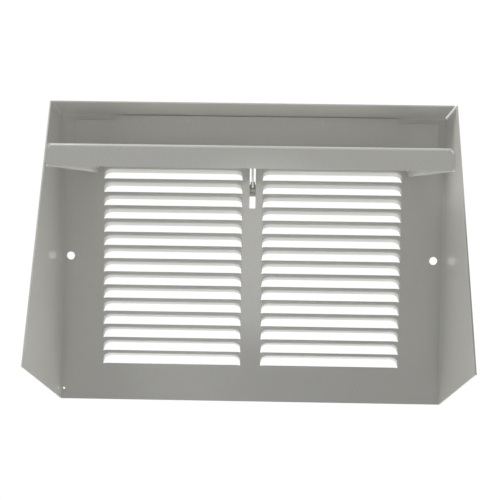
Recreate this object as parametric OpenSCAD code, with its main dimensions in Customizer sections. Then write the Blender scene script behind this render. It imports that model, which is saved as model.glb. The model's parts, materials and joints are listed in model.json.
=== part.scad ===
// Baseboard register with a damper: a folded sheet casing that stands against a wall and covers a
// duct opening, with two banks of lanced louvres in its leaning face and a pan damper behind them.
// The part stands as installed: floor at Z = 0, wall at the back (+Y), louvred face to the front (-Y).
// Every piece is drawn in the face's own frame, with Y square to the face and Z up its slope.

/* [Casing] */
// Width of the face over the folded side walls
face_w = 244.8; // [240:0.2:260]
// Height of the face along its slope
face_h = 183; // [180:1:190]
// Lean of the face back from upright, in degrees
lean = 22.5; // [20:0.5:25]
// Thickness of the sheet
sheet = 0.8; // [0.6:0.1:1]
// Depth of the side walls along the floor
floor_d = 97.8; // [94:0.2:102]
// Height of the side walls' rear edges
rear_h = 162.4; // [160:0.2:164]
// Open gap in the wide mitre, between the top wall and the left side wall
wide_mitre = 1.1; // [0.2:0.1:3]
// Open gap in the closed mitre, at the right side wall
tight_mitre = 0.3; // [0.1:0.1:1]
// Diameter of the mounting screw holes
screw_d = 5.1; // [4:0.1:6]
// Distance between the two screw holes
screw_pitch = 231.4; // [230:0.2:234]
// Height of the screw holes up the face
screw_z = 92.4; // [80:0.2:110]

/* [Louvres] */
// Number of slats in each bank
slats = 16; // [14:1:16]
// Distance from one slat to the next
slat_pitch = 8.467; // [8.3:0.001:8.5]
// Height of the lowest opening's bottom edge up the face
bank_z = 23; // [20:0.5:24]
// Inner edge of each bank, from the middle of the face
bank_in = 6; // [5.8:0.1:8]
// Outer edge of each bank, from the middle of the face
bank_out = 95; // [90:0.5:96]
// Length of a slat's section, along its curve
slat_l = 8.2; // [7.8:0.1:8.3]
// Bend radius of a slat at mid thickness
slat_bend_r = 2.5; // [2:0.1:3]
// Bend angle of a slat, from flat in the face to its free edge
slat_bend = 74; // [68:1:78]
// Flat lip above the bend of a slat
slat_lip = 0.3; // [0.2:0.1:0.5]
// Width of the lever slot
slot_w = 3.8; // [3.6:0.1:4.6]
// Height of the lever slot's lower end up the face
slot_z = 124.2; // [120:0.2:128]
// Length of the lever slot
slot_l = 38.8; // [37:0.2:39]

/* [Damper] */
// Width of the damper blade over its side flanges
blade_w = 196.8; // [195:0.2:197]
// Length of the blade from its hinged edge to its free lip
blade_l = 132.9; // [128:0.1:134]
// Depth of the blade's free lip
blade_lip = 10.9; // [10:0.1:11.4]
// Depth of the blade's flanges at their hinged end
flange_root = 9.4; // [9:0.1:10]
// Gap between the blade's hinged edge and the face
blade_gap = 2.5; // [2.4:0.1:3]
// Height of the open blade's upper surface up the face
blade_z = 154.8; // [154.6:0.1:155]
// Distance of the pivot from the face
pivot_y = 6.6; // [6.5:0.1:7]
// Height of the pivot up the face
pivot_z = 150.5; // [150.3:0.1:150.7]
// Diameter of the pivot rivets' shanks
pivot_d = 4; // [3:0.1:4.5]
// Radial running clearance of the pivots in the blade's flanges
pivot_clear = 0.05; // [0.02:0.01:0.1]

/* [Hinge plate] */
// Half width of the hinge plate
plate_half = 115; // [112:0.5:116]
// Offset of the hinge plate towards the left side wall
plate_shift = 2.2; // [0:0.1:3]
// Height of the plate's lower edge up the face
plate_z0 = 159.5; // [159:0.1:160]
// Height of the plate's upper edge at its ends
plate_z1 = 179; // [176:0.5:180]
// Extra height of the plate's middle stretch
plate_step = 3; // [1:0.5:3]
// Half width of the plate's middle stretch
step_half = 88.5; // [80:0.5:92]
// Half distance between the two spot welds
weld_half = 42; // [30:1:60]
// Diameter of a spot weld dimple
weld_d = 5; // [3:0.5:6]

/* [Lever] */
// Thickness of the lever strip
lever_t = 1.2; // [1:0.1:1.4]
// Width of the finger knob
knob_w = 8; // [6:0.5:10]
// Diameter of the finger knob
knob_d = 7.8; // [7:0.1:8.4]
// Distance of the knob's centre in front of the face
knob_y = 9.4; // [9:0.1:10]
// Height of the knob's centre up the face
knob_z = 135.7; // [134:0.1:137]

/* [Hidden] */
$fn = 64;

enamel = [0.66, 0.66, 0.63];
zinc = [0.72, 0.73, 0.74];
knob_grey = [0.56, 0.54, 0.5];

face_half = face_w / 2;
side_in = face_half - sheet;       // inner surface of a side wall
flange_out = blade_w / 2;          // outer surface of a blade flange
lip_z = blade_z - blade_lip;       // lower edge of the open blade's free lip
flange_z = blade_z - flange_root;  // lower edge of its flanges at their hinged end
blade_end = blade_gap + blade_l;   // outer surface of the free lip
root_r = 2.5;                      // round on a flange's lower hinged corner
lip_r = 2;                         // round on the free lip's lower corners
lip_slit = 1.2;                    // open corner between a flange and the free lip
ear_gap = 0.6;                     // gap between a blade flange and its ear
ear_in = flange_out + ear_gap;     // inner surface of an ear
ear_r = 4.4;                       // round end of an ear, about the pivot
ear_tab = 8;                       // width of the plate's leg that carries an ear
washer_t = 0.5;
washer_d = 8;
head_d = 7;                        // pivot rivet's head
head_h = 1.4;
tail_d = 5.6;                      // pivot rivet's closed tail, inside the flange
tail_h = 1.1;
tail_gap = 0.1;                    // gap between the tail and the flange
notch_half = 6;                    // notch in the plate that the lever swings through
notch_z = slot_z + slot_l + 0.5;
relief_d = 1.8;                    // bend relief at the foot of the right-hand fold
relief_z = 6.7;
foot_y = [10, 30];                 // lever foot, from front to back
foot_w = 13;
foot_t = 1;
foot_z = blade_z - sheet - foot_t; // lower surface of the lever foot
lever_rivet_x = 7.6;
lever_rivet_y = [15, 25];
lever_rivet_d = 3;
lever_head_d = 5.4;
lever_head_h = 1.1;
knob_edge = 1.2;                   // round on the knob's ends
knob_neck = [2.8, 6, 6];           // width, height and reach of the neck that sleeves the strip
lever_tip = [1.6 - knob_y, knob_z + 1.1]; // middle of the strip's end, inside the knob
lever_side = 2.3 * [-0.57, 0.82];  // from the middle of the strip's end to its upper corner

// a point given as [back, up] of the installed part, in the face's [square to the face, up the face]
function in_face(p) = [p[0] * cos(lean) - p[1] * sin(lean), p[0] * sin(lean) + p[1] * cos(lean)];
// the reverse: a face-frame point as [back, up] of the installed part
function installed_point(p) = [p[0] * cos(lean) + p[1] * sin(lean), p[1] * cos(lean) - p[0] * sin(lean)];

function reversed(list) = [for (i = [len(list) - 1 : -1 : 0]) list[i]];

rear_foot = in_face([floor_d, 0]);
rear_top = in_face([floor_d, rear_h]);
front_most = installed_point([-sheet, 0])[0];
rear_most = installed_point([blade_end, blade_z])[0];
middle_y = (front_most + rear_most) / 2;

// stands a piece drawn in the face's frame on the floor, centred on the part
module stand() {
    translate([0, -middle_y, 0]) rotate([-lean, 0, 0]) children();
}

// extrudes a [y, z] outline from x0 to x1
module along_x(x0, x1) {
    translate([x0, 0, 0]) rotate([90, 0, 90]) linear_extrude(x1 - x0) children();
}

// extrudes an [x, z] outline from y0 to y1
module along_y(y0, y1) {
    translate([0, y1, 0]) rotate([90, 0, 0]) linear_extrude(y1 - y0) children();
}

// a round bar or hole along X about a [y, z] centre
module bar(x0, x1, centre, d) {
    translate([x0, centre[0], centre[1]]) rotate([0, 90, 0]) cylinder(h = x1 - x0, d = d);
}

// rectangle with its corner at (x0, z0), given its far corner
module rect(x0, z0, x1, z1) {
    translate([x0, z0]) square([x1 - x0, z1 - z0]);
}

// one surface of a slat's section, from its cut upper edge down the bend to the free edge
function slat_side(offset, steps = 8) =
    let (r = slat_bend_r + offset,
         c = [-sheet / 2 - slat_bend_r, -slat_lip],
         run = slat_l - slat_lip - slat_bend_r * slat_bend * PI / 180,
         end = c + r * [cos(slat_bend), -sin(slat_bend)])
    concat([[offset - sheet / 2, 0]],
           [for (i = [0 : steps]) c + r * [cos(slat_bend * i / steps), -sin(slat_bend * i / steps)]],
           [end + run * [-sin(slat_bend), -cos(slat_bend)]]);

// a slat that ends in a cheek at each side, which closes it back to the face
module slat(x0, x1) {
    back = slat_side(sheet / 2);
    front = reversed(slat_side(-sheet / 2));
    cheek = concat([[0, -slat_pitch], [0, 0]], reversed(front),
                   [back[len(back) - 1], [-sheet, -slat_pitch]]);
    along_x(x0 + sheet, x1 - sheet) polygon(concat(back, front));
    along_x(x0, x0 + sheet) polygon(cheek);
    along_x(x1 - sheet, x1) polygon(cheek);
}

module louvre_bank(x0, x1) {
    for (i = [1 : slats]) translate([0, 0, bank_z + i * slat_pitch]) slat(x0, x1);
}

module face_sheet() {
    along_y(-sheet, 0) difference() {
        rect(-face_half, 0, face_half, face_h);
        for (s = [-1, 1]) {
            rect(min(s * bank_in, s * bank_out), bank_z,
                 max(s * bank_in, s * bank_out), bank_z + slats * slat_pitch);
            translate([s * screw_pitch / 2, screw_z]) circle(d = screw_d);
        }
        rect(-slot_w / 2, slot_z, slot_w / 2, slot_z + slot_l);
        translate([side_in, relief_z]) circle(d = relief_d);
    }
}

module louvred_face() {
    color(enamel) stand() {
        face_sheet();
        louvre_bank(bank_in, bank_out);
        louvre_bank(-bank_out, -bank_in);
    }
}

// a side wall starts at the back of the face sheet, which covers its front edge
module side_wall(x0) {
    color(enamel) stand() along_x(x0, x0 + sheet) polygon([[0, 0], rear_foot, rear_top, [0, face_h]]);
}

module side_wall_left() {
    side_wall(-face_half);
}

module side_wall_right() {
    side_wall(side_in);
}

module top_wall() {
    run = rear_top - [0, face_h];
    down = sheet * [run[1], -run[0]] / norm(run);
    color(enamel) stand() along_x(-side_in + wide_mitre, side_in - tight_mitre)
        polygon([[0, face_h - sheet], [0, face_h], rear_top, rear_top + down]);
}

// an ear folded back from a leg of the plate, with its pivot hole
module ear(side) {
    x0 = side > 0 ? ear_in : -ear_in - sheet;
    leg0 = side > 0 ? ear_in : -ear_in - ear_tab;
    along_y(0, sheet) rect(leg0, pivot_z - ear_r, leg0 + ear_tab, plate_z0);
    along_x(x0, x0 + sheet) {
        rect(0, pivot_z - ear_r, pivot_y, pivot_z + ear_r);
        translate([pivot_y, pivot_z]) circle(r = ear_r);
    }
}

module hinge_plate() {
    color(enamel) stand() difference() {
        union() {
            along_y(0, sheet) difference() {
                translate([-plate_shift, 0]) {
                    rect(-plate_half, plate_z0, plate_half, plate_z1);
                    rect(-step_half, plate_z0, step_half, plate_z1 + plate_step);
                }
                rect(-notch_half, plate_z0 - 1, notch_half, notch_z);
            }
            ear(1);
            ear(-1);
        }
        bar(-ear_in - 2 * sheet, ear_in + 2 * sheet, [pivot_y, pivot_z], pivot_d);
        for (s = [-1, 1])
            translate([s * weld_half - 1.2, sheet - 0.25, plate_z1 - 1.5])
                rotate([-90, 0, 0]) cylinder(h = 1, d = weld_d);
    }
}

// a pivot rivet on the +X side: domed head outside the ear, closed tail inside the blade's flange
module pivot_rivet() {
    translate([0, pivot_y, pivot_z]) rotate([0, 90, 0]) rotate_extrude() polygon([
        [0, flange_out - sheet - tail_gap - tail_h],
        [tail_d / 2 - 0.4, flange_out - sheet - tail_gap - tail_h],
        [tail_d / 2, flange_out - sheet - tail_gap - tail_h + 0.4],
        [tail_d / 2, flange_out - sheet - tail_gap],
        [pivot_d / 2, flange_out - sheet - tail_gap],
        [pivot_d / 2, ear_in + sheet],
        [head_d / 2, ear_in + sheet],
        [head_d / 2, ear_in + sheet + 0.4],
        [head_d / 2 - 0.9, ear_in + sheet + head_h * 0.8],
        [head_d / 2 - 2, ear_in + sheet + head_h],
        [0, ear_in + sheet + head_h]
    ]);
}

module pivot_rivet_right() {
    color(zinc) stand() pivot_rivet();
}

module pivot_rivet_left() {
    color(zinc) stand() mirror([1, 0, 0]) pivot_rivet();
}

module spring_washer() {
    difference() {
        bar(ear_in - washer_t, ear_in, [pivot_y, pivot_z], washer_d);
        bar(ear_in - washer_t - 1, ear_in + 1, [pivot_y, pivot_z], pivot_d + 0.2);
    }
}

module spring_washer_right() {
    color(zinc) stand() spring_washer();
}

module spring_washer_left() {
    color(zinc) stand() mirror([1, 0, 0]) spring_washer();
}

// side flange of the blade on the +X side, a little deeper at its free end, with its pivot hole
module blade_flange() {
    far = blade_end - lip_slit;
    difference() {
        along_x(flange_out - sheet, flange_out) {
            polygon([
                [blade_gap + root_r, flange_z], [blade_gap + root_r, blade_z], [far, blade_z], [far, lip_z]
            ]);
            rect(blade_gap, flange_z + root_r, blade_gap + root_r, blade_z);
            translate([blade_gap + root_r, flange_z + root_r]) circle(r = root_r);
        }
        bar(flange_out - 2 * sheet, flange_out + sheet, [pivot_y, pivot_z], pivot_d + 2 * pivot_clear);
    }
}

module free_lip() {
    along_y(blade_end - sheet, blade_end) {
        rect(-flange_out, lip_z + lip_r, flange_out, blade_z);
        rect(-flange_out + lip_r, lip_z, flange_out - lip_r, blade_z);
        for (s = [-1, 1]) translate([s * (flange_out - lip_r), lip_z + lip_r]) circle(r = lip_r);
    }
}

module damper_blade() {
    color(enamel) stand() {
        difference() {
            translate([-flange_out, blade_gap, blade_z - sheet]) cube([blade_w, blade_l, sheet]);
            for (y = lever_rivet_y)
                translate([lever_rivet_x, y, blade_z - 2 * sheet])
                    cylinder(h = 3 * sheet, d = lever_rivet_d);
        }
        blade_flange();
        mirror([1, 0, 0]) blade_flange();
        free_lip();
    }
}

// the strip runs from its foot under the blade, down and forwards through the slot, into the knob
module lever_arm() {
    color(enamel) stand() difference() {
        union() {
            along_x(-lever_t / 2, lever_t / 2) polygon([
                [foot_y[0] - 3.8, foot_z + foot_t], [foot_y[0] + 12, foot_z + foot_t],
                lever_tip - lever_side, lever_tip + lever_side
            ]);
            translate([-lever_t / 2, foot_y[0], foot_z]) cube([foot_w, foot_y[1] - foot_y[0], foot_t]);
        }
        for (y = lever_rivet_y)
            translate([lever_rivet_x, y, foot_z - 1]) cylinder(h = foot_t + 2, d = lever_rivet_d);
    }
}

module lever_rivet() {
    rotate_extrude() polygon([
        [0, foot_z - lever_head_h], [lever_head_d / 2 - 0.6, foot_z - lever_head_h],
        [lever_head_d / 2, foot_z - 0.4], [lever_head_d / 2, foot_z],
        [lever_rivet_d / 2, foot_z], [lever_rivet_d / 2, blade_z],
        [lever_head_d / 2, blade_z], [lever_head_d / 2, blade_z + 0.3],
        [lever_head_d / 2 - 0.7, blade_z + lever_head_h * 0.75],
        [lever_head_d / 2 - 1.6, blade_z + lever_head_h], [0, blade_z + lever_head_h]
    ]);
}

module lever_rivets() {
    color(zinc) stand() for (y = lever_rivet_y) translate([lever_rivet_x, y, 0]) lever_rivet();
}

// a finger knob turned across the strip, with a slotted neck that pushes onto the strip's end
module lever_knob() {
    low = lever_tip - lever_side;
    high = lever_tip + lever_side;
    along = 8 * [0.82, 0.57];
    centre = [-knob_y, knob_z];
    half = knob_neck[1] / 2 * [-0.57, 0.82];
    reach = knob_neck[2] * [0.82, 0.57];
    color(knob_grey) stand() difference() {
        union() {
            translate([-knob_w / 2, -knob_y, knob_z]) rotate([0, 90, 0]) rotate_extrude() polygon([
                [0, 0], [knob_d / 2 - knob_edge, 0], [knob_d / 2 - 0.3 * knob_edge, 0.3 * knob_edge],
                [knob_d / 2, knob_edge], [knob_d / 2, knob_w - knob_edge],
                [knob_d / 2 - 0.3 * knob_edge, knob_w - 0.3 * knob_edge],
                [knob_d / 2 - knob_edge, knob_w], [0, knob_w]
            ]);
            along_x(-knob_neck[0] / 2, knob_neck[0] / 2)
                polygon([centre - half, centre - half + reach, centre + half + reach, centre + half]);
        }
        along_x(-lever_t / 2, lever_t / 2) polygon([low, low + along, high + along, high]);
    }
}

louvred_face();
side_wall_left();
side_wall_right();
top_wall();
hinge_plate();
pivot_rivet_left();
pivot_rivet_right();
spring_washer_left();
spring_washer_right();
damper_blade();
lever_arm();
lever_rivets();
lever_knob();
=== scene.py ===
import json
import math
import bpy
import bmesh
from mathutils import Matrix, Vector
from mathutils.geometry import delaunay_2d_cdt


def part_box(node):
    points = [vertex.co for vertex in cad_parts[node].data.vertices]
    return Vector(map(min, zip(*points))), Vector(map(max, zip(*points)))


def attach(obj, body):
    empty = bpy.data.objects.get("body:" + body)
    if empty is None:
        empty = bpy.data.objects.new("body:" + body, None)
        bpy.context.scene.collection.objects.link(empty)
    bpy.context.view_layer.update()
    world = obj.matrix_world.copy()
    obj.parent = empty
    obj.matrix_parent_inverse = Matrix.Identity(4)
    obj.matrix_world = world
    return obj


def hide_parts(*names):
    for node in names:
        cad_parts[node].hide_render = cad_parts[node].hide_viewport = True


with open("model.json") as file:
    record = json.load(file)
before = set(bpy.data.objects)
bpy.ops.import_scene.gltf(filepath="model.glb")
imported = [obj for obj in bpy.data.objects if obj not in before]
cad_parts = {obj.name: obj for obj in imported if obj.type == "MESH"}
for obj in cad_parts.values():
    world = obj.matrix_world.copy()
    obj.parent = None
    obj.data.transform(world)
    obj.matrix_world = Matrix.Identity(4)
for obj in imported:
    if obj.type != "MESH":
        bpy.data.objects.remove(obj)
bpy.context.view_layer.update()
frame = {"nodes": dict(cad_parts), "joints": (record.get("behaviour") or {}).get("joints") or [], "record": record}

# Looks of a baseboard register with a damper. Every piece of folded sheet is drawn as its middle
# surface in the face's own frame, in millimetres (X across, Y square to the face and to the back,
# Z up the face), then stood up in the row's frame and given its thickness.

MM = 0.001
RECORD = frame["record"]


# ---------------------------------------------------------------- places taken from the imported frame

def mount(name):
    return next(m for m in RECORD["mounts"] if m["name"] == name)


SCREW = mount("screw_holes")
LEAN = math.atan2(SCREW["axis"][2], -SCREW["axis"][1])
SHEET = 0.8
CASING = ("louvred_face", "side_wall_left", "side_wall_right", "top_wall")
FACE_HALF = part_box("side_wall_right")[1].x / MM
WALL_Y = mount("wall_rest")["pos_m"][1] / MM
FOOT_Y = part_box("side_wall_right")[0].y / MM


def row_point(x, y, z):
    """A face-frame point in millimetres, as a row-frame point in metres."""
    back = y * math.cos(LEAN) + z * math.sin(LEAN)
    up = z * math.cos(LEAN) - y * math.sin(LEAN)
    return Vector((x, FOOT_Y + back, up)) * MM


def face_point(x, back, up):
    """A row-frame point in millimetres, in the face's frame."""
    back -= FOOT_Y
    return Vector((x, back * math.cos(LEAN) - up * math.sin(LEAN),
                   back * math.sin(LEAN) + up * math.cos(LEAN)))


def face_box(node):
    """A CAD node's box in the face's frame, in millimetres."""
    points = [face_point(*(v.co / MM)) for v in frame["nodes"][node].data.vertices]
    return [[f(p[i] for p in points) for i in range(3)] for f in (min, max)]


HINGE = next(j for j in frame["joints"] if j["name"] == "damper_hinge")
PIVOT = face_point(*(Vector(HINGE["pos_m"]) / MM))
WALL_FOOT = face_point(0, WALL_Y, 0)
REAR_EDGE = [v.co.z / MM for v in frame["nodes"]["side_wall_right"].data.vertices
             if v.co.y > (WALL_Y - 0.05) * MM]
WALL_TOP = face_point(0, WALL_Y, max(REAR_EDGE))

# ---------------------------------------------------------------- sizes of the detail, in millimetres

FACE_H = 183.0
BEND = 1.1            # bend radius of the casing's folds, at mid thickness
PITCH = 8.467         # one slat to the next
SLATS = 16
BANK_Z = 23.0         # lowest opening's lower edge, up the face
BANK_IN = 6.0         # inner and outer edge of a bank, from the middle of the face
BANK_OUT = 95.0
SLAT_LIP = 0.3        # flat stretch above a slat's bend
SLAT_BEND_R = 1.5
SLAT_ANGLE = math.radians(72)
END_LEN = 5.4         # length over which a slat's end is drawn back to the face
END_SIDE = 2.5        # height of the upright side of an opening
END_WALL = 0.35       # width of the steep drawn wall at an opening's end
CURL = 1.0            # height of the curl along an opening's lower edge
CURL_IN = 0.25        # how far that curl turns towards the front
CURL_UP = 0.4         # how far it stands above the cut line
SLOT_HALF = 1.9       # the lever slot
SLOT_Z = 124.2
SLOT_TOP = 163.0
SCREW_X = SCREW["dims"]["pcd_mm"] / 2
SCREW_R = SCREW["dims"]["hole_r_mm"]
SCREW_Z = 92.4
RELIEF = (119.9, 6.7, 0.75)     # bend relief: across, up the face and radius
WIDE_MITRE = 1.1      # open gap between the top wall and the left side wall
TIGHT_MITRE = 0.35    # and the right side wall
EDGE_ANGLE = math.radians(50)   # an edge sharper than this is rounded
SHADE_ANGLE = math.radians(38)  # and one sharper than this isn't shaded smooth


# ---------------------------------------------------------------- sheet building

def inside(p, loop):
    """Whether a point lies inside a closed loop."""
    hit = False
    for (x0, z0), (x1, z1) in zip(loop, loop[1:] + loop[:1]):
        if (z0 > p[1]) != (z1 > p[1]) and p[0] < (x1 - x0) * (p[1] - z0) / (z1 - z0) + x0:
            hit = not hit
    return hit


def circle(x, z, r, count=32, start=0.0, turn=2 * math.pi):
    """Points round a circle; a part turn includes both its ends."""
    steps = count if turn == 2 * math.pi else count - 1
    return [(x + r * math.cos(start + turn * i / steps), z + r * math.sin(start + turn * i / steps))
            for i in range(count)]


class Sheet:
    """The middle surface of a folded sheet, in the face's frame."""

    def __init__(self):
        self.points = []
        self.faces = []

    def grid(self, rows):
        """A net of quads through rows of points of the same length."""
        first, width = len(self.points), len(rows[0])
        for row in rows:
            self.points.extend(row)
        for r in range(len(rows) - 1):
            for c in range(width - 1):
                a = first + r * width + c
                self.faces.append((a, a + 1, a + 1 + width, a + width))

    def flat(self, outline, holes, place):
        """A flat stretch inside an outline, with holes, put in place by place(u, v)."""
        points, edges = [], []
        for loop in [outline] + holes:
            start = len(points)
            points += loop
            edges += [(start + i, start + (i + 1) % len(loop)) for i in range(len(loop))]
        found, _, triangles = delaunay_2d_cdt([Vector(p) for p in points], edges, [], 0, 1e-5)[:3]
        first = len(self.points)
        self.points.extend(place(*p) for p in found)
        for triangle in triangles:
            middle = sum((found[i] for i in triangle), Vector((0, 0))) / 3
            if inside(middle, outline) and not any(inside(middle, hole) for hole in holes):
                self.faces.append(tuple(first + i for i in triangle))

    def build(self, name, bevel=0.16):
        """Joins the stretches, merges their flat triangles and gives the sheet its thickness."""
        mesh = bpy.data.meshes.new(name)
        mesh.from_pydata([row_point(*p) for p in self.points], [], self.faces)
        bm = bmesh.new()
        bm.from_mesh(mesh)
        bmesh.ops.remove_doubles(bm, verts=bm.verts, dist=0.002 * MM)
        bmesh.ops.dissolve_degenerate(bm, edges=bm.edges, dist=0.001 * MM)
        bmesh.ops.dissolve_limit(bm, angle_limit=math.radians(0.05), verts=bm.verts,
                                 edges=bm.edges)
        bmesh.ops.recalc_face_normals(bm, faces=bm.faces)
        bm.to_mesh(mesh)
        bm.free()
        obj = bpy.data.objects.new(name, mesh)
        bpy.context.scene.collection.objects.link(obj)
        thick = obj.modifiers.new("thickness", "SOLIDIFY")
        thick.thickness = SHEET * MM
        thick.offset = 0
        thick.use_even_offset = True
        thick.use_quality_normals = True
        soften(obj, bevel)
        return obj


def soften(obj, bevel):
    """Rounds the sharp edges, then keeps the finished mesh with its shading normals."""
    edge = obj.modifiers.new("edges", "BEVEL")
    edge.width = bevel * MM
    edge.segments = 2
    edge.limit_method = "ANGLE"
    edge.angle_limit = EDGE_ANGLE
    edge.use_clamp_overlap = True
    bpy.context.view_layer.update()
    evaluated = obj.evaluated_get(bpy.context.evaluated_depsgraph_get())
    mesh = bpy.data.meshes.new_from_object(evaluated)
    obj.modifiers.clear()
    obj.data = mesh
    mesh.shade_smooth()
    mesh.set_sharp_from_angle(angle=SHADE_ANGLE)
    normals = obj.modifiers.new("normals", "WEIGHTED_NORMAL")
    normals.keep_sharp = True


def finish_piece(obj, body, material, slot, *nodes):
    obj.data.materials.clear()
    obj.data.materials.append(material)
    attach(obj, body)
    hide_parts(*nodes)
    return obj


def spread(a, b, count):
    """Numbers from a to b in count equal steps."""
    return [a + (b - a) * i / count for i in range(count + 1)]


def arc(count):
    """Steps of a right-angled fold."""
    return [math.pi / 2 * i / count for i in range(count + 1)]


# ---------------------------------------------------------------- casing

def slat_point(angle, s, share, lip):
    """A slat's section [y, z] at arc length s below its upper edge, bent by angle below a flat lip."""
    bend = SLAT_BEND_R * SLAT_ANGLE
    y, z = 0.0, -min(s, lip)
    if s > lip and angle > 1e-4:
        r = bend / angle
        a = angle * min(s - lip, bend) / bend
        y, z = -r * (1 - math.cos(a)), z - r * math.sin(a)
        run = max(0.0, s - lip - bend)
        y, z = y - run * math.sin(angle), z - run * math.cos(angle)
    elif s > lip:
        z = -s
    top = max(0.0, 1 - s / CURL) ** 2 * share
    return y - CURL_IN * top, z + CURL_UP * top


def slat_columns():
    """(distance from the bank's inner edge, bend, share of the curl, flat lip) along a slat."""
    length = BANK_OUT - BANK_IN
    tall = PITCH + slat_point(SLAT_ANGLE, PITCH, 0, SLAT_LIP)[1]
    ends = [0.0, END_WALL * 0.5, END_WALL]
    ends += [END_WALL + END_LEN * (1 - math.cos(a)) for a in arc(9)[1:]]
    places = ends + spread(ends[-1], length - ends[-1], 6)[1:-1]
    places += [length - d for d in reversed(ends)]
    columns = []
    for x in places:
        d = min(x, length - x)
        u = min(1.0, max(0.0, (d - END_WALL) / END_LEN))
        high = END_SIDE * min(1.0, max(0.5, d / END_WALL))
        high += (tall - END_SIDE) * math.sqrt(1 - (1 - u) ** 2)
        lip = SLAT_LIP + (tall - high) / (1 - math.cos(SLAT_ANGLE))
        columns.append((x, SLAT_ANGLE if d > 0 else 0.0, min(1.0, d / 1.6), lip))
    return columns


def slat_s(lip):
    """Arc lengths at which a slat's section is drawn."""
    bend = SLAT_BEND_R * SLAT_ANGLE
    return ([0, lip / 2, lip] + [lip + bend * i / 7 for i in range(1, 8)]
            + spread(lip + bend, PITCH, 3)[1:])


SILL = [CURL * k for k in (1, 0.75, 0.5, 0.25, 0)]     # steps down the curl of the lowest opening


def slat_bank(sheet, side):
    """The slats of one bank, and the curled sill under its lowest opening."""
    columns = slat_columns()
    for i in range(1, SLATS + 1):
        top = BANK_Z + i * PITCH
        last = i == SLATS
        rows = []
        for x, angle, share, lip in columns:
            section = [slat_point(angle, s, 0 if last else share, lip) for s in slat_s(lip)]
            rows.append([(side * (BANK_IN + x), y - SHEET / 2, top + z) for y, z in section])
        sheet.grid(rows)
    sheet.grid([[(side * (BANK_IN + x), -SHEET / 2 - CURL_IN * share * (1 - s / CURL) ** 2,
                  BANK_Z - s + CURL_UP * share * (1 - s / CURL) ** 2) for s in SILL]
                for x, _, share, _ in columns])


def bank_hole(side):
    """Outline of a bank in the flat of the face, with a point wherever a slat or the sill joins it."""
    columns = [c[0] for c in slat_columns()]
    end_s = slat_s(slat_columns()[0][3])
    heights = [BANK_Z - s for s in SILL]
    heights += [BANK_Z + i * PITCH - s for i in range(1, SLATS + 1) for s in reversed(end_s)]
    heights = sorted(set(round(h, 5) for h in heights))
    low, high = heights[0], heights[-1]
    loop = [(BANK_IN + x, low) for x in columns]
    loop += [(BANK_OUT, z) for z in heights[1:]]
    loop += [(BANK_IN + x, high) for x in reversed(columns[:-1])]
    loop += [(BANK_IN, z) for z in reversed(heights[1:-1])]
    return [(side * x, z) for x, z in loop]


def casing_sheet():
    """Face, side walls and top wall in one, with their folds and mitres."""
    sheet = Sheet()
    mid = FACE_HALF - SHEET / 2          # middle of a side wall
    flat_half = mid - BEND               # where the flat of the face ends
    slope = (WALL_TOP.z - FACE_H) / (WALL_TOP.y + SHEET)
    tilt = math.atan(slope)
    bend_y = BEND - SHEET / 2            # centre of every fold, square to the face
    top_z = FACE_H + slope * (bend_y + SHEET) - (BEND + SHEET / 2) / math.cos(tilt)
    left, right = -(mid - SHEET / 2 - WIDE_MITRE), mid - SHEET / 2 - TIGHT_MITRE
    fold_right = flat_half - 0.6

    def edge_z(y):
        return max(0.0, y) * math.tan(LEAN)

    def crown_z(y):
        return FACE_H + (y + SHEET) * slope

    corner = crown_z(-SHEET / 2)
    outline = [(-flat_half, 0), (flat_half, 0), (flat_half, corner), (flat_half - 0.3, corner),
               (fold_right, corner - 0.4), (fold_right, top_z), (left, top_z),
               (left, corner - 0.4), (left - 0.6, corner), (-flat_half, corner)]
    holes = [bank_hole(1), bank_hole(-1)]
    holes += [circle(s * SCREW_X, SCREW_Z, SCREW_R, 40) for s in (-1, 1)]
    holes.append([(-SLOT_HALF, SLOT_Z), (SLOT_HALF, SLOT_Z),
                  (SLOT_HALF, SLOT_TOP), (-SLOT_HALF, SLOT_TOP)])
    holes.append(circle(*RELIEF, 20))
    sheet.flat(outline, holes, lambda x, z: (x, -SHEET / 2, z))
    slat_bank(sheet, 1)
    slat_bank(sheet, -1)

    for side in (-1, 1):
        rows = []
        for a in arc(8):
            x, y = flat_half + BEND * math.sin(a), bend_y - BEND * math.cos(a)
            rows.append([(side * x, y, edge_z(y)), (side * x, y, crown_z(y))])
        sheet.grid(rows)
        wall = [(bend_y, edge_z(bend_y)), (WALL_FOOT.y, WALL_FOOT.z), (WALL_TOP.y, WALL_TOP.z),
                (bend_y, crown_z(bend_y))]
        sheet.flat(wall, [], lambda y, z, x=side * mid: (x, y, z))

    rows = []
    turn = math.pi / 2 - tilt
    for i in range(9):
        a = turn * i / 8
        y, z = bend_y - BEND * math.cos(a), top_z + BEND * math.sin(a)
        rows.append([(left, y, z), (fold_right, y, z)])
    sheet.grid(rows)
    start = rows[-1][0]
    along = (math.cos(tilt), math.sin(tilt))
    run = (WALL_TOP.y - start[1]) / along[0] + SHEET / 2 * math.tan(tilt)
    wall = [(left, 0), (fold_right, 0), (fold_right, 0.9), (right, 1.5), (right, run), (left, run)]
    sheet.flat(wall, [], lambda x, d: (x, start[1] + d * along[0], start[2] + d * along[1]))
    return sheet


# ---------------------------------------------------------------- hinge plate

PLATE = {"shift": 2.2, "half": 115.0, "low": 159.5, "end_top": 179.0, "top": 182.0, "step": 88.5}
NOTCH_HALF = 6.0      # notch in the plate that the lever swings through
NOTCH_TOP = 163.5
PLATE_OFF = 0.12      # gap between the plate and the face
EAR_IN = 99.0         # inner surface of an ear
EAR_R = 4.4
LEG = 8.0             # width of the leg that carries an ear
EAR_HOLE_R = 2.0
WELD = {"half": 42.0, "shift": 1.2, "z": 177.5, "r": 2.5, "deep": 0.32}
RING = 28             # points round a weld dimple or a pivot hole


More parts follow.
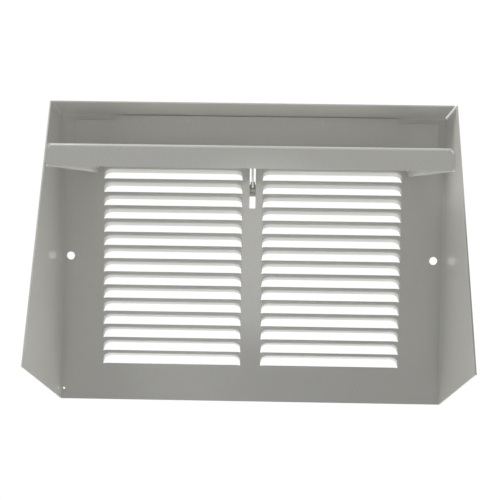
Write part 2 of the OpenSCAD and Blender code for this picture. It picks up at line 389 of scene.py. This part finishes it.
def rounded(points, r, count):
    """An outline with its corners rounded to radius r."""
    out = []
    for i, p in enumerate(points):
        p = Vector(p)
        a = (Vector(points[i - 1]) - p).normalized()
        b = (Vector(points[(i + 1) % len(points)]) - p).normalized()
        half = a.angle(b) / 2
        start, end = p + a * r / math.tan(half), p + b * r / math.tan(half)
        centre = p + (a + b).normalized() * r / math.sin(half)
        t0 = math.atan2(start.y - centre.y, start.x - centre.x)
        t1 = math.atan2(end.y - centre.y, end.x - centre.x)
        sweep = (t1 - t0 + math.pi) % (2 * math.pi) - math.pi
        out += circle(centre.x, centre.y, r, count, t0, sweep)
    return out


def weld_dimple(sheet, x, z, level):
    """A shallow round hollow in the plate, pressed towards the face."""
    rows = []
    for k in range(7):
        share = k / 6
        deep = WELD["deep"] * (0.5 - 0.5 * math.cos(math.pi * share))
        ring = circle(x, z, max(WELD["r"] * (1 - share), 0.02), RING)
        rows.append([(u, level - deep, v) for u, v in ring + ring[:1]])
    sheet.grid(rows)
    first = len(sheet.points)
    sheet.points += rows[-1][:-1]
    sheet.faces.append(tuple(range(first, first + RING)))


def hinge_plate_sheet():
    """The plate against the face, its two legs, and the ears folded back from them."""
    sheet = Sheet()
    mid, fold = SHEET / 2 + PLATE_OFF, 0.9
    ear_mid = EAR_IN + SHEET / 2
    p = PLATE
    outline = []
    for side in (1, -1):
        end = side * p["half"] - p["shift"]
        step = side * p["step"] - p["shift"]
        leg_in, leg_out = side * (ear_mid + fold), side * (EAR_IN + LEG)
        half = [(side * NOTCH_HALF, p["low"]), (leg_in, p["low"]), (leg_in, PIVOT.z - EAR_R),
                (leg_out, PIVOT.z - EAR_R), (leg_out, p["low"]), (end, p["low"]), (end, p["end_top"]),
                (step + side * 1.2, p["end_top"]), (step, p["top"])]
        outline += half if side == 1 else list(reversed(half))
    outline += [(-NOTCH_HALF, NOTCH_TOP), (NOTCH_HALF, NOTCH_TOP)]
    dimples = [(s * WELD["half"] - WELD["shift"], WELD["z"]) for s in (1, -1)]
    rims = [circle(x, z, WELD["r"], RING) for x, z in dimples]
    sheet.flat(outline, rims, lambda x, z: (x, mid, z))
    for x, z in dimples:
        weld_dimple(sheet, x, z, mid)
    for side in (-1, 1):
        rows = [[(side * (ear_mid + fold - fold * math.sin(a)), mid + fold - fold * math.cos(a), z)
                 for z in (PIVOT.z - EAR_R, PIVOT.z + EAR_R + 2)] for a in arc(6)]
        sheet.grid(rows)
        tip = circle(PIVOT.y, PIVOT.z, EAR_R, 17, -math.pi / 2, math.pi)
        ear = [(mid + fold, PIVOT.z - EAR_R)] + tip + [(mid + fold + 1.5, PIVOT.z + EAR_R),
                                                       (mid + fold, PIVOT.z + EAR_R + 2)]
        hole = circle(PIVOT.y, PIVOT.z, EAR_HOLE_R, RING)
        sheet.flat(ear, [hole], lambda y, z, x=side * ear_mid: (x, y, z))
    return sheet


# ---------------------------------------------------------------- damper blade

LEVER_RIVETS = [(7.6, 15.0), (7.6, 25.0)]
FLANGE_ROOT = 9.4     # depth of the side flanges at the hinged end
FLANGE_HOLE_R = 2.05


def blade_sheet():
    """The open damper: a pan with two side flanges that deepen towards its free lip."""
    lo, hi = face_box("damper_blade")
    fold = 1.25
    out_x, top = hi[0] - SHEET / 2, hi[2] - SHEET / 2
    flat_x, flat_z = out_x - fold, top - fold
    near, lip_y = lo[1], hi[1] - SHEET / 2
    flat_y = lip_y - fold
    low, root_low = lo[2], hi[2] - FLANGE_ROOT
    slit = 0.9                            # open corner between a side flange and the free lip
    far = flat_y - slit
    sheet = Sheet()
    outline = [(-flat_x, near), (flat_x, near), (flat_x, far), (flat_x - slit, flat_y),
               (slit - flat_x, flat_y), (-flat_x, far)]
    rivets = [circle(x, y, 1.5, 20) for x, y in LEVER_RIVETS]
    sheet.flat(outline, rivets, lambda x, y: (x, y, top))
    flange = [(near, flat_z)]
    flange += circle(near + 2.5, root_low + 2.5, 2.5, 9, math.pi, math.pi / 2)
    flange += circle(far - 1.6, low + 1.6, 1.6, 7, -math.pi / 2, math.pi / 2)
    flange += [(far, flat_z)]
    hole = circle(PIVOT.y, PIVOT.z, FLANGE_HOLE_R, RING)
    for side in (-1, 1):
        sheet.grid([[(side * (flat_x + fold * math.sin(a)), y, flat_z + fold * math.cos(a))
                     for y in (near, far)] for a in arc(7)])
        sheet.flat(flange, [hole], lambda y, z, x=side * out_x: (x, y, z))
    sheet.grid([[(x, flat_y + fold * math.sin(a), flat_z + fold * math.cos(a))
                 for x in (slit - flat_x, flat_x - slit)] for a in arc(7)])
    wide = hi[0] - 0.25
    lip = [(slit - flat_x, flat_z), (-wide, flat_z - 2.2)]
    lip += circle(-wide + 2.2, low + 2.2, 2.2, 8, math.pi, math.pi / 2)
    lip += circle(wide - 2.2, low + 2.2, 2.2, 8, -math.pi / 2, math.pi / 2)
    lip += [(wide, flat_z - 2.2), (flat_x - slit, flat_z)]
    sheet.flat(lip, [], lambda x, z: (x, lip_y, z))
    return sheet


# ---------------------------------------------------------------- small turned and cut pieces

def object_from(name, bm):
    """Closes a bmesh and puts it in the scene as an object."""
    mesh = bpy.data.meshes.new(name)
    bmesh.ops.recalc_face_normals(bm, faces=bm.faces)
    bm.to_mesh(mesh)
    bm.free()
    obj = bpy.data.objects.new(name, mesh)
    bpy.context.scene.collection.objects.link(obj)
    return obj


def smooth(obj, angle=32):
    obj.data.shade_smooth()
    obj.data.set_sharp_from_angle(angle=math.radians(angle))


def bridge(bm, rings, steps):
    """Joins rings of points, any of which may be a single point."""
    for a, b in zip(rings, rings[1:]):
        for i in range(steps):
            j = (i + 1) % steps
            quad = [a[i % len(a)], a[j % len(a)], b[j % len(b)], b[i % len(b)]]
            bm.faces.new([v for k, v in enumerate(quad) if v not in quad[:k]])


def turned(bm, profile, origin, axis, steps=48):
    """Turns a profile of (distance along, radius) about an axis in the face's frame."""
    axis = Vector(axis).normalized()
    side = axis.orthogonal().normalized()
    other = axis.cross(side)
    rings = []
    for along, r in profile:
        centre = Vector(origin) + axis * along
        if r < 1e-6:
            rings.append([bm.verts.new(row_point(*centre))])
            continue
        ring = []
        for t in [2 * math.pi * i / steps for i in range(steps)]:
            point = centre + (side * math.cos(t) + other * math.sin(t)) * r
            ring.append(bm.verts.new(row_point(*point)))
        rings.append(ring)
    bridge(bm, rings, steps)


def dome(radius, height, base):
    """Profile of a domed rivet head on the face at base, from its rim to its crown."""
    count, rim = 6, 0.18
    out = [(base, radius - rim), (base + rim * 0.5, radius), (base + rim, radius)]
    for i in range(1, count + 1):
        a = math.pi / 2 * i / count
        out.append((base + rim + (height - rim) * math.sin(a), radius * math.cos(a)))
    out[-1] = (base + height, 0.0)
    return out


def pivot_rivet(name, side):
    """A set rivet through a flange and its ear, with its domed head on the outside."""
    flange = face_box("damper_blade")[1][0]
    ear_out = EAR_IN + SHEET
    tail = flange - SHEET - 0.1
    profile = [(tail - 1.1, 0.0), (tail - 1.1, 0.9), (tail - 1.02, 1.2), (tail - 1.1, 2.3),
               (tail - 0.9, 2.65), (tail - 0.4, 2.8), (tail - 0.1, 2.75), (tail, 2.6), (tail, 2.0),
               (ear_out, 2.0)] + dome(3.5, 1.35, ear_out)
    bm = bmesh.new()
    turned(bm, profile, (0, PIVOT.y, PIVOT.z), (side, 0, 0))
    obj = object_from(name, bm)
    smooth(obj)
    return obj


def washer(name, side):
    """A thin washer between a flange and its ear."""
    bm = bmesh.new()
    a, b = EAR_IN - 0.5, EAR_IN
    profile = [(a + 0.12, 2.1), (a, 2.25), (a, 3.85), (a + 0.12, 4.0), (b - 0.12, 4.0), (b, 3.85),
               (b, 2.25), (b - 0.12, 2.1), (a + 0.12, 2.1)]
    turned(bm, profile, (0, PIVOT.y, PIVOT.z), (side, 0, 0))
    bmesh.ops.remove_doubles(bm, verts=bm.verts, dist=0.001 * MM)
    obj = object_from(name, bm)
    smooth(obj)
    return obj


def lever_rivet_heads():
    """The two rivets that hold the lever's foot under the blade."""
    lo, hi = face_box("lever_rivets")
    top = face_box("damper_blade")[1][2]
    foot = top - SHEET - 1.0
    bm = bmesh.new()
    for x, y in LEVER_RIVETS:
        profile = [(lo[2], 0.0), (lo[2], 1.9), (lo[2] + 0.15, 2.2), (lo[2] + 0.5, 2.5),
                   (foot - 0.2, 2.7), (foot, 2.6), (foot, 1.5), (top, 1.5)]
        profile += dome(2.7, hi[2] - top, top)
        turned(bm, profile, (x, y, 0), (0, 0, 1), 40)
    obj = object_from("lever_rivet_heads", bm)
    smooth(obj)
    return obj


def slab(bm, outline, place, low, high):
    """Closes an outline into a flat piece between two levels, put in place by place(point, level)."""
    loops = [[bm.verts.new(place(p, level)) for p in outline] for level in (low, high)]
    bm.faces.new(loops[0])
    bm.faces.new(reversed(loops[1]))
    for i in range(len(outline)):
        j = (i + 1) % len(outline)
        bm.faces.new((loops[0][i], loops[0][j], loops[1][j], loops[1][i]))


# The strip's direction from the knob to the blade, and square to it, as (back, up).
STRIP_RUN = Vector((0.82, 0.57)).normalized()
STRIP_SIDE = Vector((-0.57, 0.82)).normalized()


def lever_strip():
    """The cut strip on edge, and the leaf of its foot that lies against the blade."""
    tip, side = Vector((-7.8, 136.8)), STRIP_SIDE * 2.3
    top = face_box("lever_arm")[1][2]
    half = 0.6
    outline = [(6.2, top), (22.0, top), tuple(tip - side), tuple(tip + side)]
    leaf = [(-half, 10.0), (12.4, 10.0), (12.4, 30.0), (-half, 30.0)]
    bm = bmesh.new()
    slab(bm, rounded(outline, 0.8, 4), lambda p, x: row_point(x, p[0], p[1]), -half, half)
    slab(bm, rounded(leaf, 1.6, 6), lambda p, z: row_point(p[0], p[1], z), top - 1.0, top - 0.01)
    obj = object_from("lever_strip", bm)
    soften(obj, 0.15)
    return obj


def knob():
    """A finger knob turned across the strip, with fine grip ribs and rounded ends."""
    lo, hi = face_box("lever_knob")
    half, r = (hi[0] - lo[0]) / 2, 3.9
    cy, cz = lo[1] + r, lo[2] + r
    ribs, steps, edge = 18, 144, 1.3
    stations = [(half, 0.0)]
    stations += [(half - edge + edge * math.cos(a), r - edge + edge * math.sin(a)) for a in arc(6)]
    stations += [(k, r) for k in spread(half - edge, 0, 4)[1:]]
    stations += [(-x, v) for x, v in reversed(stations[:-1])]
    bm = bmesh.new()
    rings = []
    for x, v in stations:
        if v == 0:
            rings.append([bm.verts.new(row_point(x, cy, cz))])
            continue
        ring = []
        for i in range(steps):
            t = 2 * math.pi * i / steps
            groove = 0.14 * (0.5 + 0.5 * math.cos(ribs * t)) ** 3
            d = v - groove * max(0.0, (v - (r - edge)) / edge)
            ring.append(bm.verts.new(row_point(x, cy + d * math.cos(t), cz + d * math.sin(t))))
        rings.append(ring)
    bridge(bm, rings, steps)
    side, near, far = STRIP_SIDE * 3.0, STRIP_RUN * 2.4, STRIP_RUN * 6.0
    centre = Vector((cy, cz))
    neck = [centre + near - side, centre + far - side, centre + far + side, centre + near + side]
    slab(bm, rounded(neck, 0.7, 4), lambda p, x: row_point(x, p[0], p[1]), -1.4, 1.4)
    obj = object_from("finger_knob", bm)
    smooth(obj, 50)
    return obj


# ---------------------------------------------------------------- materials

def new_material(name):
    """A material, its nodes, its links and its shader."""
    material = bpy.data.materials.new(name)
    material.use_nodes = True
    nodes = material.node_tree.nodes
    return material, nodes, material.node_tree.links, nodes["Principled BSDF"]


def noise(nodes, links, vector, scale, detail=3.0, rough=0.5):
    node = nodes.new("ShaderNodeTexNoise")
    node.inputs["Scale"].default_value = scale
    node.inputs["Detail"].default_value = detail
    node.inputs["Roughness"].default_value = rough
    links.new(vector, node.inputs["Vector"])
    return node.outputs["Fac"]


def ramp(nodes, links, value, stops):
    """A colour ramp of (position, colour) stops."""
    node = nodes.new("ShaderNodeValToRGB")
    links.new(value, node.inputs["Fac"])
    for i, (at, colour) in enumerate(stops):
        stop = node.color_ramp.elements[i] if i < 2 else node.color_ramp.elements.new(at)
        stop.position = at
        stop.color = (*colour, 1)
    return node.outputs["Color"]


def spread_value(nodes, links, value, low, high):
    """Stretches a noise's usual range over low to high."""
    node = nodes.new("ShaderNodeMapRange")
    links.new(value, node.inputs["Value"])
    node.inputs["From Min"].default_value = 0.25
    node.inputs["From Max"].default_value = 0.75
    node.inputs["To Min"].default_value = low
    node.inputs["To Max"].default_value = high
    return node.outputs["Result"]


def bump(nodes, links, height, strength, distance, normal=None):
    """Surface relief from a height, on top of an earlier one if there is one."""
    node = nodes.new("ShaderNodeBump")
    node.inputs["Strength"].default_value = strength
    node.inputs["Distance"].default_value = distance
    links.new(height, node.inputs["Height"])
    if normal is not None:
        links.new(normal, node.inputs["Normal"])
    return node.outputs["Normal"]


def enamel():
    """Baked enamel over sheet steel: soft mottling, fine orange peel and slightly dulled patches."""
    material, nodes, links, shader = new_material("enamel")
    where = nodes.new("ShaderNodeTexCoord").outputs["Object"]
    patches = noise(nodes, links, where, 14, 4, 0.55)
    grain = noise(nodes, links, where, 900, 3, 0.6)
    colour = ramp(nodes, links, patches, [(0.3, (0.76, 0.755, 0.722)), (0.7, (0.78, 0.775, 0.742))])
    specks = ramp(nodes, links, grain, [(0.35, (0.95, 0.95, 0.945)), (0.62, (1, 1, 1))])
    mix = nodes.new("ShaderNodeMix")
    mix.data_type = "RGBA"
    mix.blend_type = "MULTIPLY"
    mix.inputs["Factor"].default_value = 0.8
    links.new(colour, mix.inputs["A"])
    links.new(specks, mix.inputs["B"])
    links.new(mix.outputs["Result"], shader.inputs["Base Color"])
    links.new(spread_value(nodes, links, patches, 0.33, 0.42), shader.inputs["Roughness"])
    peel = noise(nodes, links, where, 520, 2, 0.45)
    waves = noise(nodes, links, where, 26, 2, 0.4)
    normal = bump(nodes, links, waves, 0.08, 0.001)
    links.new(bump(nodes, links, peel, 0.06, 0.00008, normal), shader.inputs["Normal"])
    shader.inputs["Metallic"].default_value = 0.0
    shader.inputs["Coat Weight"].default_value = 0.9
    shader.inputs["Coat Roughness"].default_value = 0.07
    shader.inputs["IOR"].default_value = 1.5
    return material


def zinc():
    """Dull zinc plating with a crystalline mottle and fine scratches."""
    material, nodes, links, shader = new_material("zinc")
    where = nodes.new("ShaderNodeTexCoord").outputs["Object"]
    patches = noise(nodes, links, where, 700, 4, 0.6)
    colour = ramp(nodes, links, patches, [(0.35, (0.50, 0.50, 0.49)), (0.65, (0.66, 0.665, 0.665))])
    links.new(colour, shader.inputs["Base Color"])
    links.new(spread_value(nodes, links, patches, 0.28, 0.46), shader.inputs["Roughness"])
    scratch = noise(nodes, links, where, 2600, 3, 0.7)
    links.new(bump(nodes, links, scratch, 0.15, 0.00004), shader.inputs["Normal"])
    shader.inputs["Metallic"].default_value = 1.0
    return material


def knob_plastic():
    """Moulded plastic, satin, with a faint flow mottle and fine texture."""
    material, nodes, links, shader = new_material("knob_plastic")
    where = nodes.new("ShaderNodeTexCoord").outputs["Object"]
    patches = noise(nodes, links, where, 260, 3, 0.5)
    colour = ramp(nodes, links, patches, [(0.3, (0.40, 0.385, 0.345)), (0.7, (0.44, 0.425, 0.385))])
    links.new(colour, shader.inputs["Base Color"])
    links.new(spread_value(nodes, links, patches, 0.5, 0.62), shader.inputs["Roughness"])
    fine = noise(nodes, links, where, 3200, 2, 0.5)
    links.new(bump(nodes, links, fine, 0.2, 0.00004), shader.inputs["Normal"])
    shader.inputs["IOR"].default_value = 1.49
    return material


# ---------------------------------------------------------------- stage

# The camera looks square at the back of the face, from behind and below.
ACROSS = Vector((-1, 0, 0))
UP_FACE = Vector((0, math.sin(LEAN), math.cos(LEAN)))
BACK = Vector((0, math.cos(LEAN), -math.sin(LEAN)))
CAMERA_AT = 547.8     # distance from the face, in millimetres
CAMERA_FOOT = 97.7    # point up the face that the camera is turned about
CAMERA_ASIDE = 1.1
PITCH_TURN, YAW_TURN, ROLL_TURN = 0.0531, -0.0129, -0.0152
LENS = 61.8

# Strengths of the world's light.
WORLD_ROOM = 0.9      # from the room side
WORLD_WALL = 0.22     # from the wall side
WORLD_LOW = 0.15      # share of the wall side's light that comes from below the face's foot
WORLD_FOOT = 0.85     # a soft box at the face's foot
WORLD_ENDS = 0.24     # soft boxes at the part's two ends
WORLD_BOX = 3.0       # a small soft box round the camera
AIM = (0, 0, 0.08)    # point that the lamps are turned to, in metres

FLOOR_HALF = 4.0      # in metres
FLOOR_FADE = (0.3, 2.6)         # the floor fades out between these distances


def stage_floor():
    """A pale floor that shows from above only, because the object is also looked at from below."""
    bm = bmesh.new()
    bmesh.ops.create_grid(bm, x_segments=1, y_segments=1, size=FLOOR_HALF)
    obj = object_from("floor", bm)
    if obj.data.polygons[0].normal.z < 0:
        obj.data.flip_normals()
    material, nodes, links, shader = new_material("floor_paint")
    where = nodes.new("ShaderNodeTexCoord").outputs["Object"]
    tone = ramp(nodes, links, noise(nodes, links, where, 3, 3),
                [(0.3, (0.88, 0.88, 0.875)), (0.7, (0.91, 0.91, 0.905))])
    links.new(tone, shader.inputs["Base Color"])
    shader.inputs["Roughness"].default_value = 0.7
    distance = nodes.new("ShaderNodeVectorMath")
    distance.operation = "LENGTH"
    links.new(where, distance.inputs[0])
    fade = nodes.new("ShaderNodeMapRange")
    fade.interpolation_type = "SMOOTHSTEP"
    links.new(distance.outputs["Value"], fade.inputs["Value"])
    fade.inputs["From Min"].default_value = FLOOR_FADE[0]
    fade.inputs["From Max"].default_value = FLOOR_FADE[1]
    gone = nodes.new("ShaderNodeMath")
    gone.operation = "MAXIMUM"
    links.new(nodes.new("ShaderNodeNewGeometry").outputs["Backfacing"], gone.inputs[0])
    links.new(fade.outputs["Result"], gone.inputs[1])
    clear = nodes.new("ShaderNodeBsdfTransparent")
    mix = nodes.new("ShaderNodeMixShader")
    links.new(gone.outputs["Value"], mix.inputs["Fac"])
    links.new(shader.outputs["BSDF"], mix.inputs[1])
    links.new(clear.outputs["BSDF"], mix.inputs[2])
    links.new(mix.outputs["Shader"], nodes["Material Output"].inputs["Surface"])
    obj.data.materials.append(material)
    obj.visible_diffuse = obj.visible_glossy = obj.visible_shadow = False


def stage_world():
    """White all round to look at. Its light is a sum of soft patches, each with its own direction."""
    world = bpy.data.worlds.new("studio")
    bpy.context.scene.world = world
    world.use_nodes = True
    nodes, links = world.node_tree.nodes, world.node_tree.links
    nodes.clear()
    where = nodes.new("ShaderNodeTexCoord").outputs["Generated"]
    mirrored = nodes.new("ShaderNodeVectorMath")
    mirrored.operation = "ABSOLUTE"
    links.new(where, mirrored.inputs[0])

    def lobe(towards, start, end, low, high, source=where):
        """Light that runs from low to high as the cosine to a direction goes from start to end."""
        across = nodes.new("ShaderNodeVectorMath")
        across.operation = "DOT_PRODUCT"
        across.inputs[1].default_value = towards.normalized()
        links.new(source, across.inputs[0])
        light = nodes.new("ShaderNodeMapRange")
        light.interpolation_type = "SMOOTHSTEP"
        links.new(across.outputs["Value"], light.inputs["Value"])
        light.inputs["From Min"].default_value = start
        light.inputs["From Max"].default_value = end
        light.inputs["To Min"].default_value = low
        light.inputs["To Max"].default_value = high
        return light.outputs["Result"]

    def math_node(operation, a, b):
        node = nodes.new("ShaderNodeMath")
        node.operation = operation
        links.new(a, node.inputs[0])
        links.new(b, node.inputs[1])
        return node.outputs["Value"]

    total = math_node("MULTIPLY", lobe(BACK, -0.35, 0.35, 0.0, WORLD_WALL),
                      lobe(UP_FACE, -0.8, 0.3, WORLD_LOW, 1.0))
    room = math_node("MULTIPLY", lobe(BACK, -0.35, 0.35, WORLD_ROOM, 0.0),
                     lobe(UP_FACE, -0.6, 0.4, 1.0, 0.5))
    ends = lobe(Vector((1, 0, 0)), 0.3, 0.9, 0.0, WORLD_ENDS, mirrored.outputs["Vector"])
    foot = lobe(-UP_FACE, 0.45, 0.92, 0.0, WORLD_FOOT)
    box = lobe(BACK - UP_FACE * 0.056, math.cos(0.13), math.cos(0.05), 0.0, WORLD_BOX)
    for part in (room, ends, foot, box):
        total = math_node("ADD", total, part)
    dim, bright = nodes.new("ShaderNodeBackground"), nodes.new("ShaderNodeBackground")
    dim.inputs["Color"].default_value = (1.0, 1.0, 0.99, 1)
    links.new(total, dim.inputs["Strength"])
    bright.inputs["Color"].default_value = (1, 1, 1, 1)
    bright.inputs["Strength"].default_value = 1.02
    mix = nodes.new("ShaderNodeMixShader")
    links.new(nodes.new("ShaderNodeLightPath").outputs["Is Camera Ray"], mix.inputs["Fac"])
    links.new(dim.outputs["Background"], mix.inputs[1])
    links.new(bright.outputs["Background"], mix.inputs[2])
    out = nodes.new("ShaderNodeOutputWorld")
    links.new(mix.outputs["Shader"], out.inputs["Surface"])


def area_light(name, at, size, power):
    light = bpy.data.lights.new(name, "AREA")
    light.size = size
    light.energy = power
    obj = bpy.data.objects.new(name, light)
    obj.location = at
    obj.rotation_mode = "QUATERNION"
    obj.rotation_quaternion = (Vector(AIM) - Vector(at)).to_track_quat("-Z", "Y")
    bpy.context.scene.collection.objects.link(obj)


def camera():
    turn = (Matrix.Rotation(ROLL_TURN, 3, "Z") @ Matrix.Rotation(YAW_TURN, 3, "Y")
            @ Matrix.Rotation(PITCH_TURN, 3, "X"))
    face_axes = Matrix((ACROSS, UP_FACE, BACK)).transposed()
    at = face_axes @ (turn.transposed() @ Vector((-CAMERA_ASIDE, 0, CAMERA_AT)))
    place = (face_axes @ turn.transposed()).to_4x4()
    place.translation = row_point(0, 0, CAMERA_FOOT) + at * MM
    data = bpy.data.cameras.new("camera")
    data.lens = LENS
    data.sensor_width = 36
    data.clip_start = 0.01
    obj = bpy.data.objects.new("camera", data)
    obj.matrix_world = place
    bpy.context.scene.collection.objects.link(obj)
    bpy.context.scene.camera = obj


# ---------------------------------------------------------------- the whole object

camera()
stage_world()
stage_floor()
area_light("key", (0.9, 0.9, 1.2), 0.9, 17)
area_light("fill", (-1.1, -0.9, 1.0), 1.2, 3)
bpy.context.scene.view_settings.view_transform = "Standard"

paint, plating, plastic = enamel(), zinc(), knob_plastic()
finish_piece(casing_sheet().build("casing_shell"), "frame", paint, "enamel", *CASING)
finish_piece(hinge_plate_sheet().build("hinge_bracket", bevel=0.12), "frame", paint, "enamel",
             "hinge_plate")
finish_piece(blade_sheet().build("damper_pan"), "damper", paint, "enamel", "damper_blade")
finish_piece(lever_strip(), "damper", paint, "enamel", "lever_arm")
finish_piece(lever_rivet_heads(), "damper", plating, "zinc", "lever_rivets")
finish_piece(knob(), "damper", plastic, "knob", "lever_knob")
for word, side in (("right", 1), ("left", -1)):
    finish_piece(pivot_rivet("pivot_pin_" + word, side), "frame", plating, "zinc",
                 "pivot_rivet_" + word)
    finish_piece(washer("friction_washer_" + word, side), "frame", plating, "zinc",
                 "spring_washer_" + word)

bpy.context.view_layer.update()
